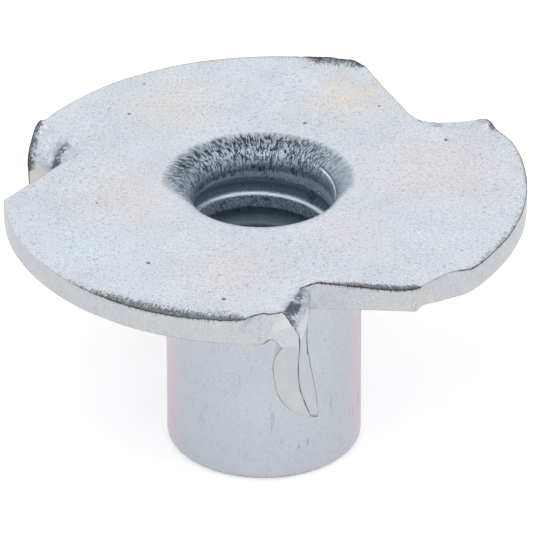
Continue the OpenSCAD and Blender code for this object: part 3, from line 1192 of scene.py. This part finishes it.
# %% Below the flange
UNDER_FLANGE = (9.55, 9.35)
# direction in degrees and strength of the pink bands; those at -4 and 184 degrees, the barrel's sides, are
# painted sheen
PINK_BANDS = ((-4, 0.55), (67, 0.3), (118, 0.25), (184, 0.55))
on_barrel = where((height_mm, *UNDER_FLANGE))
# painted shade: the barrel and blades below the flange are greyer
colour = lay(colour, "#aeb3b9", on_barrel, 0.65)
# the strong bands on the barrel's two sides are a painted sheen, the weak ones a pink tint
for degrees, amount in PINK_BANDS:
    toward = (math.cos(math.radians(degrees)), math.sin(math.radians(degrees)), 0)
    facing = put("VectorMath", {0: heading, 1: toward}, operation="DOT_PRODUCT")["Value"]
    colour = lay(colour, "#d3bfcb", on_barrel, (total([facing], [uneven, 0.12]), 0.86, 0.98, 0.0, amount))
print("nodes with the barrel:", len(nodes))

# %% [markdown]
# ## Sheared edges
# The punch leaves bare torn steel, and the thin zinc over it looks duller and warmer than on the flat.
# The layers take the mask `sheared`, so they end where the sheared metal ends. Cells of about a
# millimetre make them patchy, as the break runs unevenly along a real edge.

# %% Dull and warm metal on the sheared edges
# the place in mm on the left prong's edge where it is warmest
WARMEST = (-8.9, 3.6, 8.9)
colour = lay(colour, "#babdc1", on["sheared"], (grain, 0.35, 0.65, 0.5, 0.95))
colour = lay(colour, "#cfcbbe", on["sheared"], (speckle(1 / 1.1, 3, 0.6, 41), 0.45, 0.7, 0.0, 0.4))
near_prong = put("VectorMath", {0: in_mm, 1: WARMEST}, operation="DISTANCE")["Value"]
colour = lay(colour, "#d1ccbe", on["sheared"], (near_prong, 2.4, 0.6, 0.0, 0.6))
print("nodes with the sheared edges:", len(nodes))

# %% [markdown]
# ## Specks, pits and scratches
# Nuts knock against each other while they tumble, so a few small specks and pits lie on the flat. The
# specks are random cells of a Voronoi pattern. The larger pits are few and the eye remembers them, so
# each has its own place. They are colour only: at a tenth of a millimetre a dent would not be seen.

# %% Blemishes
# width of a cell in mm, radius of a speck in cells, and the share of the cells that have one
SPECK_CELL, SPECK_R, SPECK_SHARE = 1 / 1.4, 0.07, 0.3
# x, y and size of each pit in mm
PITS = (
    (-4.14, -5.5, 0.1), (-6.04, -1.24, 0.07), (-4.96, 5.18, 0.09), (-4.43, 7.4, 0.08), (4.27, 5.53, 0.08),
    (6.69, 2.97, 0.09), (1.53, 4.35, 0.13), (-1.42, -8.05, 0.1),
)
cells = put("TexVoronoi", {0: in_mm, "Scale": 1 / SPECK_CELL})
lot = put("SeparateXYZ", {0: cells["Color"]})[0]
speck, picked = (cells["Distance"], SPECK_R, SPECK_R / 2), (lot, SPECK_SHARE, SPECK_SHARE - 0.01)
colour = lay(colour, "#8d97a3", speck, picked, 0.9)
on_top = where((height_mm, 10.2, 10.3))
for x, y, size in PITS:
    colour = lay(colour, "#4b4c50", blot(x, y, size, 0.1, core=0.3), on_top, 0.85)
upright = put("VectorMath", {0: in_mm, 1: (5.0, 5.0, 0.5)}, operation="MULTIPLY")[0]
inputs = {0: upright, "Scale": 1.0, "Detail": 3.0, "Roughness": 0.7, "Distortion": 0.6}
scratch = put("TexNoise", inputs)[0]
colour = lay(colour, "#8b8e97", on_barrel, (scratch, 0.6, 0.68), (wobble, 0.5, 0.62, 0.0, 0.6))
print("pits:", len(PITS), "and nodes with the blemishes:", len(nodes))

# %% [markdown]
# ## Wear over the bends
# Where the sheet is folded, its skin stretches, turns rough and opens in fine cracks that the zinc doesn't
# fill. It looks smoky at first and dark over the hardest bend. One layer could not show both, so two follow
# the mask `bend`: a pale one that starts early, and a dark one that needs a strong bend. Both are broken
# up by the same smoky pattern, so the dark lies inside the pale.

# %% Smoky and cracked metal
smoke = total([speckle(0.625, 3, 0.6, 14)], [speckle(0.125, 3, 0.8, 15), 0.8])
worn = (on["bend"], 0.08, 0.35, 0.0, 0.8)
colour = lay(colour, "#aebac8", worn, (smoke, 0.8, 1.05), (grain, 0.6, 0.4, 0.3, 1.0))
cracked = (total([smoke], [on["bend"], 0.3]), 0.98, 1.14, 0.15, 0.95)
colour = lay(colour, "#4b5763", (on["bend"], 0.3, 0.8), cracked)
print("nodes with the bends:", len(nodes))

# %% [markdown]
# ## Mouth
# The sheet is stretched most where it is drawn down into the hole. There its skin tears into fine dark
# strokes that run down the flare, with bright metal between them. Real strokes are finer than they
# are here: at their own width of a hundredth of a millimetre they would blur to grey. The strokes are
# noise stretched along lines from the axis. The mask of the cracks keeps them to the side that was
# stretched most, the far (+Y) side, and it also paints that side darker, as shade.

# %% Strokes in the flare
strokes = total([streaks], [long_streaks, 0.4])
ragged_mouth = total([on["mouth"]], [long_streaks, -0.2], [0.1])
in_mouth = where((on["mouth"], 0.0, 0.03), (ragged_mouth, -0.04, 0.26))
cracks = on["cracks"]
# these layers follow the cracks' mask, so the flare's far (+Y) side is painted darker, as shade
colour = lay(colour, lay("#a7b5c2", "#8391a0", cracks), in_mouth, 0.9)
colour = lay(colour, "#525e6a", in_mouth, (cracks, 0.2, 0.9, 0.25, 1.0), (fine, 0.53, 0.4, 0.0, 0.8))
colour = lay(colour, "#b9c7d2", in_mouth, (cracks, 0.0, 0.6), (strokes, 0.72, 0.79, 0.0, 0.65))
colour = lay(colour, "#1f2932", in_mouth, cracks, (strokes, 0.7, 0.635, 0.0, 0.95))
foot_grain = (fine, 0.6, 0.42, 1.0, 0.6)
colour = lay(colour, "#b4c3cf", (on["mouth"], 0.6, 0.82), (strokes, 0.63, 0.73, 0.3, 1.0), foot_grain)
print("nodes with the mouth:", len(nodes))

# %% [markdown]
# ## Thread
# The thread is formed after the barrel is drawn. Its crests are pale, and a few brown stains of oil are
# left. The grooves' flanks are painted a darker blue-grey as shade, deep in the hole an even grey is
# painted as shade, and a painted highlight runs along the rubbed crest edges near the top.
# The colours follow the mask `root`, which says how deep a point lies in the groove, so they turn with
# the thread without any pattern of their own.

# %% Crests, grooves, stains and rubbed edges
in_thread = where((on["mouth"], 0.93, 1.0))
crest = lay("#869dad", "#e8f1f8", (fine, 0.46, 0.68))
colour = lay(colour, crest, (on["mouth"], 0.93, 1.0, 0.0, 0.95), (height_mm, 9.35, 9.25))
# painted shade: the grooves' flanks are darker, their roots a little lighter
groove = lay("#667989", "#a6b8c6", (on["root"], 0.7, 1.0))
colour = lay(colour, groove, (on["root"], 0.2, 0.3, 0.0, 0.95))
colour = lay(colour, "#3b3330", in_thread, (speckle(1 / 1.5, 3, 0.7, 52), 0.6, 0.68, 0.0, 0.6))
# painted shade: deep in the hole an even grey
colour = lay(colour, "#8192a0", in_thread, (height_mm, 7.8, 7.35, 0.0, 0.92))
# painted highlight along the rubbed crest edges in the upper turns
colour = lay(colour, "#eef6fd", on["rub"], (height_mm, 8.0, 8.3))
# painted highlight along the polished scar in the mouth
colour = lay(colour, "#f2f5f7", (on["scar"], 0.84, 0.95, 0.0, 0.9))
print("nodes with the thread:", len(nodes))

# %% [markdown]
# ## Torn edges
# Dirt in the burr lies in short hairs across the edge, where the metal tore, and a thin brown line of
# painted shade follows the sharp edges. The masks say where. Stretched noise breaks the fringe into hairs,
# and coarse noise breaks the line, so that neither looks drawn.

# %% Dark fringe, and the brown line of painted shade
hair_cover = where((total([on["burr"]], [(hairs, 0.3, 0.7), -0.6]), -0.05, 0.35))
colour = lay(colour, lay("#1f2830", "#7c8b99", (fine, 0.42, 0.62)), hair_cover, 0.85)
line_break = (speckle(1 / 2.2, 3, 0.6, 21), 0.3, 0.6, 0.45, 0.95)
# painted shade: a thin brown line along every sharp edge
colour = lay(colour, "#54443b", (on["seam"], 0.1, 0.8), line_break)
print("nodes with the torn edges:", len(nodes))

# %% [markdown]
# ## Shine and relief
# Zinc plate is a metal, so Metallic is 1 and the IOR stays at its default. Its roughness is usually
# about 0.4. Here it runs from 0.38 to 0.48 with the grain, and is higher where the metal is torn, dirty
# or threaded. The relief is a bump in millimetres, because real displacement of a grain this fine would
# need millions of faces.

# %% Roughness and bump
shader = nodes["Principled BSDF"]
shader.inputs["Metallic"].default_value = 1.0
links.new(colour, shader.inputs["Base Color"])
dull = put("Math", {0: hair_cover, 1: on["sheared"]}, operation="MAXIMUM")[0]
rough = total([(grain, 0.3, 0.7, 0.38, 0.48)], [dull, 0.14], [in_thread, 0.28])
links.new(rough, shader.inputs["Roughness"])
bend_grain = speckle(0.25, 3, 0.6, 14)
relief = total(
    [grain, 0.006], [fine, 0.003], [in_mouth, streaks, 0.05], [on["bend"], bend_grain, 0.03],
    [hair_cover, 0.02],
)
links.new(put("Bump", {"Strength": 1.0, "Distance": MM, "Height": relief})[0], shader.inputs["Normal"])
mesh.materials.append(zinc)
print("material nodes:", len(nodes))

# %% [markdown]
# ## Studio
# A pale paper floor, a white surround and two large soft lamps. Metal shows what it reflects, so the
# surround is white for reflected rays too. The floor is ordinary white paper that glows a little for
# what the camera sees and for reflections, so that it reads as white and still keeps the nut's soft
# shadow.

# %% Floor
FLOOR_HALF, FLOOR_GAP = 2, 0.02 * MM
corners = [(x * FLOOR_HALF, y * FLOOR_HALF, 0) for x, y in ((-1, -1), (1, -1), (1, 1), (-1, 1))]
floor_mesh = bpy.data.meshes.new("floor")
floor_mesh.from_pydata(corners, [], [(0, 1, 2, 3)])
floor = bpy.data.objects.new("floor", floor_mesh)
floor.location.z = -FLOOR_GAP
bpy.context.scene.collection.objects.link(floor)
print("floor of", 2 * FLOOR_HALF, "m, below the nut by mm:", round(FLOOR_GAP / MM, 2))

# %% White paper
paper = bpy.data.materials.new("white_paper_floor")
paper.use_nodes = True
nodes, links = paper.node_tree.nodes, paper.node_tree.links
shader = nodes["Principled BSDF"]
shader.inputs["Base Color"].default_value = linear("#f0f0f0")
shader.inputs["Roughness"].default_value = 0.9
shader.inputs["Emission Color"].default_value = (1, 1, 1, 1)
ray = put("LightPath")
shown = put("Math", {0: ray["Is Camera Ray"], 1: ray["Is Glossy Ray"]}, operation="MAXIMUM")[0]
links.new(where(shown, 0.45), shader.inputs["Emission Strength"])
floor_mesh.materials.append(paper)
print("paper nodes:", len(nodes))

# %% Surround: full white where it is seen or reflected, dimmer where it only lights
world = bpy.data.worlds.new("studio")
bpy.context.scene.world = world
world.use_nodes = True
nodes, links = world.node_tree.nodes, world.node_tree.links
ray = put("LightPath")
shown = put("Math", {0: ray["Is Camera Ray"], 1: ray["Is Glossy Ray"]}, operation="MAXIMUM")[0]
shown = put("Math", {0: shown, 1: ray["Is Transmission Ray"]}, operation="MAXIMUM")[0]
backdrop = nodes["Background"]
backdrop.inputs["Color"].default_value = (1, 1, 1, 1)
links.new(where((shown, 0.0, 1.0, 0.55, 1.0)), backdrop.inputs["Strength"])
print("surround nodes:", len(nodes))


# %% Lamps
def lamp(name, place_m, size, power):
    """A round soft lamp at a place in metres, aimed at the nut."""
    data = bpy.data.lights.new(name, "AREA")
    data.shape, data.size, data.energy = "DISK", size, power
    made = bpy.data.objects.new(name, data)
    made.location = place_m
    to_nut = Vector((0, 0, 0.008)) - Vector(place_m)
    made.rotation_euler = to_nut.to_track_quat("-Z", "Y").to_euler()
    bpy.context.scene.collection.objects.link(made)


lamp("soft_key", (-0.12, -0.25, 0.45), 0.4, 0.8)
lamp("soft_fill", (0.3, -0.15, 0.4), 0.3, 0.4)
print("lamps:", len(bpy.data.lights))

# %% [markdown]
# ## Camera
# The camera looks down on the nut by 31 degrees, from 0.3 m away. Its lens is long, as for a catalogue
# picture, because a long lens keeps the far side of the flange nearly as wide as the near side.

# %% Camera
# lens in mm, place and aim in mm, and a slight roll in degrees
LENS, ROLL = 557.2, -0.0997
EYE, AIM = Vector((0, -258.497, 162.748)), Vector((0.1007, 0, 6.976))
camera_data = bpy.data.cameras.new("camera")
camera_data.lens, camera_data.sensor_width = LENS, 36
camera_data.clip_start, camera_data.clip_end = 0.01, 10
camera = bpy.data.objects.new("camera", camera_data)
bpy.context.scene.collection.objects.link(camera)
camera.location = EYE * MM
level = (AIM * MM - camera.location).to_track_quat("-Z", "Y").to_matrix()
camera.rotation_euler = (level @ Matrix.Rotation(math.radians(ROLL), 3, "Z")).to_euler()
bpy.context.scene.camera = camera
bpy.context.scene.view_settings.view_transform = "Standard"
print("camera is away by mm:", round((AIM - EYE).length, 1))
